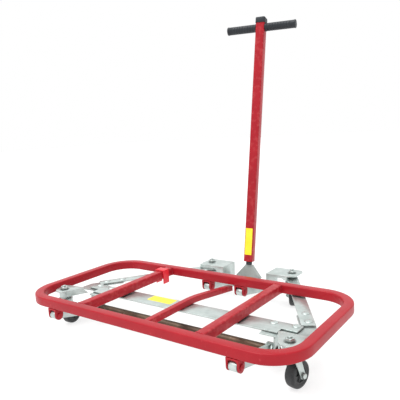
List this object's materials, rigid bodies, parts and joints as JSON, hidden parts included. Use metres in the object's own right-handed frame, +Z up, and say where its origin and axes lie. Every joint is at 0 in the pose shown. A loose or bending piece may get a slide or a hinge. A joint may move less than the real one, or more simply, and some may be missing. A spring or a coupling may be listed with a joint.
{
  "type": "wheel dolly",
  "caption": "Low wheel dolly: a round-cornered square-tube frame on a tilting parallel linkage over a plated base on swivel casters, raised by leaning back its upright T-handle.",
  "frame": {"origin": "on the floor under the middle of the bounding box, with the frame lowered and the handle at rest", "axes": "+X along the long side, to the right seen from the front; +Y from the front rail back to the handle; +Z up"},
  "size_m": [1.02, 0.8899, 1.0963],
  "materials": {
    "red_paint": "glossy red enamel on welded square steel tube",
    "zinc_plate": "bright zinc-plated steel with a faint green-blue cast",
    "dark_shaft": "oiled dark brown steel shaft",
    "black_steel": "black oxide steel",
    "black_plastic": "fine-textured black moulded plastic",
    "red_plastic": "bright red moulded plastic",
    "tyre_rubber": "smooth black solid rubber tread",
    "hub_plastic": "dark grey moulded wheel centre",
    "bush_plastic": "natural nylon"
  },
  "bodies": {
    "base": {"base_cross_bar": "zinc_plate", "diagonal_bar_left": "zinc_plate", "diagonal_bar_right": "zinc_plate", "corner_bracket_left": "zinc_plate", "corner_bracket_right": "zinc_plate", "shaft_hanger_left": "zinc_plate", "shaft_hanger_right": "zinc_plate", "rear_bracket_left": "zinc_plate", "rear_bracket_right": "zinc_plate", "kingpin_front_left": "zinc_plate", "kingpin_front_right": "zinc_plate", "kingpin_rear_left": "zinc_plate", "kingpin_rear_right": "zinc_plate"},
    "front_rocker": {"front_shaft": "dark_shaft", "front_lift_arm_left": "zinc_plate", "front_lift_arm_right": "zinc_plate"},
    "rear_rocker": {"rear_shaft": "dark_shaft", "rear_lift_arm_left": "zinc_plate", "rear_lift_arm_right": "zinc_plate", "yoke": "zinc_plate", "swivel_stub": "black_steel"},
    "handle": {"swivel_bush": "bush_plastic", "handle_tube": "red_paint", "t_bar": "zinc_plate", "grip_left": "black_plastic", "grip_right": "black_plastic", "top_cap": "black_plastic"},
    "lift_frame": {"frame_loop": "red_paint", "crossbar_left": "red_paint", "crossbar_right": "red_paint", "centre_bar": "red_paint", "centre_bar_tail": "red_paint", "handle_clip": "red_plastic", "front_clevis_left": "red_paint", "front_clevis_right": "red_paint", "front_clevis_pin_left": "red_paint", "front_clevis_pin_right": "red_paint", "rear_clevis_left": "red_paint", "rear_clevis_right": "red_paint", "rear_clevis_pin_left": "red_paint", "rear_clevis_pin_right": "red_paint"},
    "caster_front_left": {"caster_fork_front_left": "zinc_plate", "axle_bolt_front_left": "zinc_plate"},
    "wheel_front_left": {"tyre_front_left": "tyre_rubber", "wheel_hub_front_left": "hub_plastic"},
    "caster_front_right": {"caster_fork_front_right": "zinc_plate", "axle_bolt_front_right": "zinc_plate"},
    "wheel_front_right": {"tyre_front_right": "tyre_rubber", "wheel_hub_front_right": "hub_plastic"},
    "caster_rear_left": {"caster_fork_rear_left": "zinc_plate", "axle_bolt_rear_left": "zinc_plate"},
    "wheel_rear_left": {"tyre_rear_left": "tyre_rubber", "wheel_hub_rear_left": "hub_plastic"},
    "caster_rear_right": {"caster_fork_rear_right": "zinc_plate", "axle_bolt_rear_right": "zinc_plate"},
    "wheel_rear_right": {"tyre_rear_right": "tyre_rubber", "wheel_hub_rear_right": "hub_plastic"}
  },
  "joints": [
    {"name": "handle_lift", "type": "hinge", "parent": "base", "child": "rear_rocker", "pos_m": [0, 0.2185, 0.058], "axis": [-1, 0, 0], "range_deg": [0, 30]},
    {"name": "front_shaft_turn", "type": "hinge", "parent": "base", "child": "front_rocker", "pos_m": [0, -0.2475, 0.058], "axis": [-1, 0, 0], "range_deg": [0, 30]},
    {"name": "frame_level", "type": "hinge", "parent": "rear_rocker", "child": "lift_frame", "pos_m": [0, 0.036, 0.094], "axis": [-1, 0, 0], "range_deg": [-30, 0]},
    {"name": "handle_turn", "type": "hinge", "parent": "rear_rocker", "child": "handle", "pos_m": [0, 0.2185, 0.058], "axis": [0, 0.184, 0.9829], "continuous": true},
    {"name": "swivel_front_left", "type": "hinge", "parent": "base", "child": "caster_front_left", "pos_m": [-0.44, -0.318, 0.1], "axis": [0, 0, 1], "continuous": true},
    {"name": "roll_front_left", "type": "hinge", "parent": "caster_front_left", "child": "wheel_front_left", "pos_m": [-0.44363, -0.29428, 0.0375], "axis": [0.9885, 0.1513, 0], "continuous": true},
    {"name": "swivel_front_right", "type": "hinge", "parent": "base", "child": "caster_front_right", "pos_m": [0.44, -0.318, 0.1], "axis": [0, 0, 1], "continuous": true},
    {"name": "roll_front_right", "type": "hinge", "parent": "caster_front_right", "child": "wheel_front_right", "pos_m": [0.44478, -0.29448, 0.0375], "axis": [0.9799, -0.1994, 0], "continuous": true},
    {"name": "swivel_rear_left", "type": "hinge", "parent": "base", "child": "caster_rear_left", "pos_m": [-0.1555, 0.201, 0.1], "axis": [0, 0, 1], "continuous": true},
    {"name": "roll_rear_left", "type": "hinge", "parent": "caster_rear_left", "child": "wheel_rear_left", "pos_m": [-0.17093, 0.21939, 0.0375], "axis": [0.766, 0.6428, 0], "continuous": true},
    {"name": "swivel_rear_right", "type": "hinge", "parent": "base", "child": "caster_rear_right", "pos_m": [0.1995, 0.201, 0.1], "axis": [0, 0, 1], "continuous": true},
    {"name": "roll_rear_right", "type": "hinge", "parent": "caster_rear_right", "child": "wheel_rear_right", "pos_m": [0.19129, 0.22355, 0.0375], "axis": [0.9397, 0.342, 0], "continuous": true}
  ],
  "couplings": [
    {"joint": "front_shaft_turn", "follows": "handle_lift", "ratio": 1},
    {"joint": "frame_level", "follows": "handle_lift", "ratio": -1}
  ]
}
